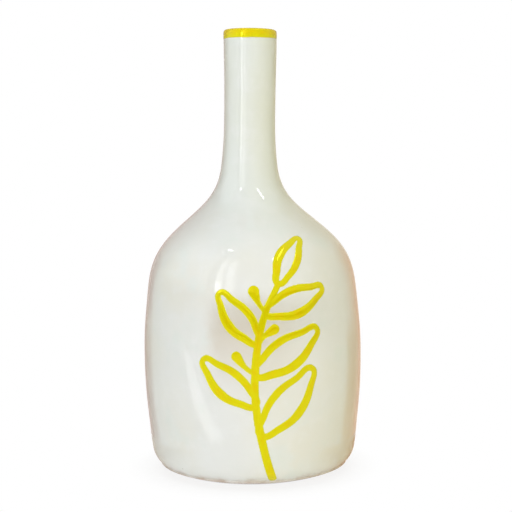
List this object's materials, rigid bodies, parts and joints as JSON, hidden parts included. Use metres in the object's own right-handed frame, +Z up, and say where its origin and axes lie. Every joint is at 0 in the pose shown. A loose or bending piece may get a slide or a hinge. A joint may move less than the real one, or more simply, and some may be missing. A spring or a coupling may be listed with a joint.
{
  "type": "bottle vase",
  "caption": "Tall-necked ceramic bottle vase: full round body on a bare clay foot, swept shoulder, long open neck and a coloured glaze band at the lip.",
  "frame": {"origin": "centre of the level face that the foot ring rests on, on the wheel axis", "axes": "+Z up the wheel axis towards the lip; the painted front faces -Y; X to the right of it"},
  "size_m": [0.1492, 0.1492, 0.3],
  "materials": {
    "bare_clay": "matt",
    "white_glaze": "gloss",
    "yellow_glaze": "gloss"
  },
  "bodies": {
    "root": {"foot_ring": "bare_clay", "body": "white_glaze", "shoulder": "white_glaze", "neck": "white_glaze", "rim_band": "yellow_glaze"}
  },
  "joints": []
}
